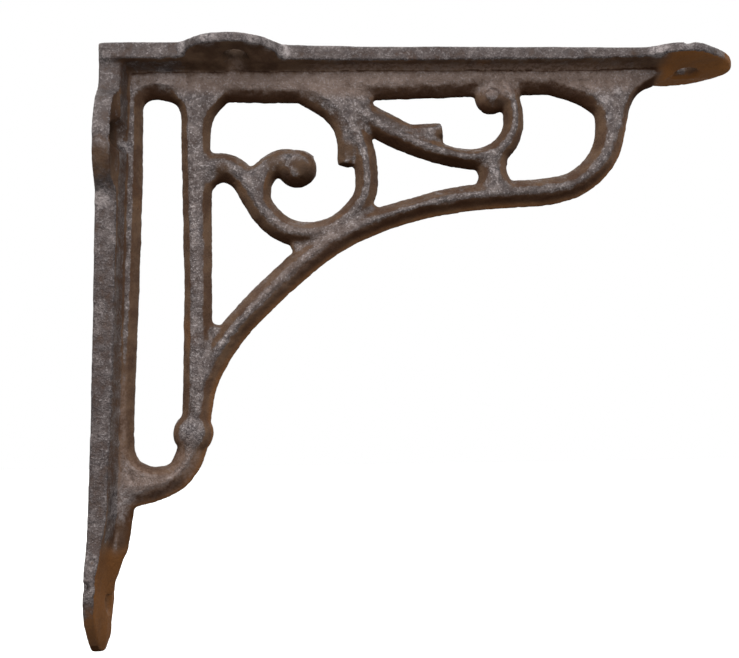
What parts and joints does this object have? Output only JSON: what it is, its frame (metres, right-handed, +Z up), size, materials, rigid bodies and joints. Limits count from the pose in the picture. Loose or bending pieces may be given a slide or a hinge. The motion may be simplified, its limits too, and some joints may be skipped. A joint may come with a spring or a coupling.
{
  "type": "cast iron shelf bracket",
  "caption": "Ornate cast iron shelf bracket: two legs at a right angle, a pierced web of scrolls, leaf and brace, oval screw pads at the tips and a screw ear on one side of each leg.",
  "frame": {"origin": "middle of the wall face, on the casting's mid-plane", "axes": "+X out from the wall along the shelf leg, +Z up, +Y across the bracket, away from the side that carries the screw ears"},
  "size_m": [0.1619, 0.0278, 0.146],
  "materials": {
    "cast_iron": "rough sand-cast iron, dark brown with rubbed grey faces and rust tints"
  },
  "bodies": {
    "root": {"bracket_casting": "cast_iron"}
  },
  "joints": []
}
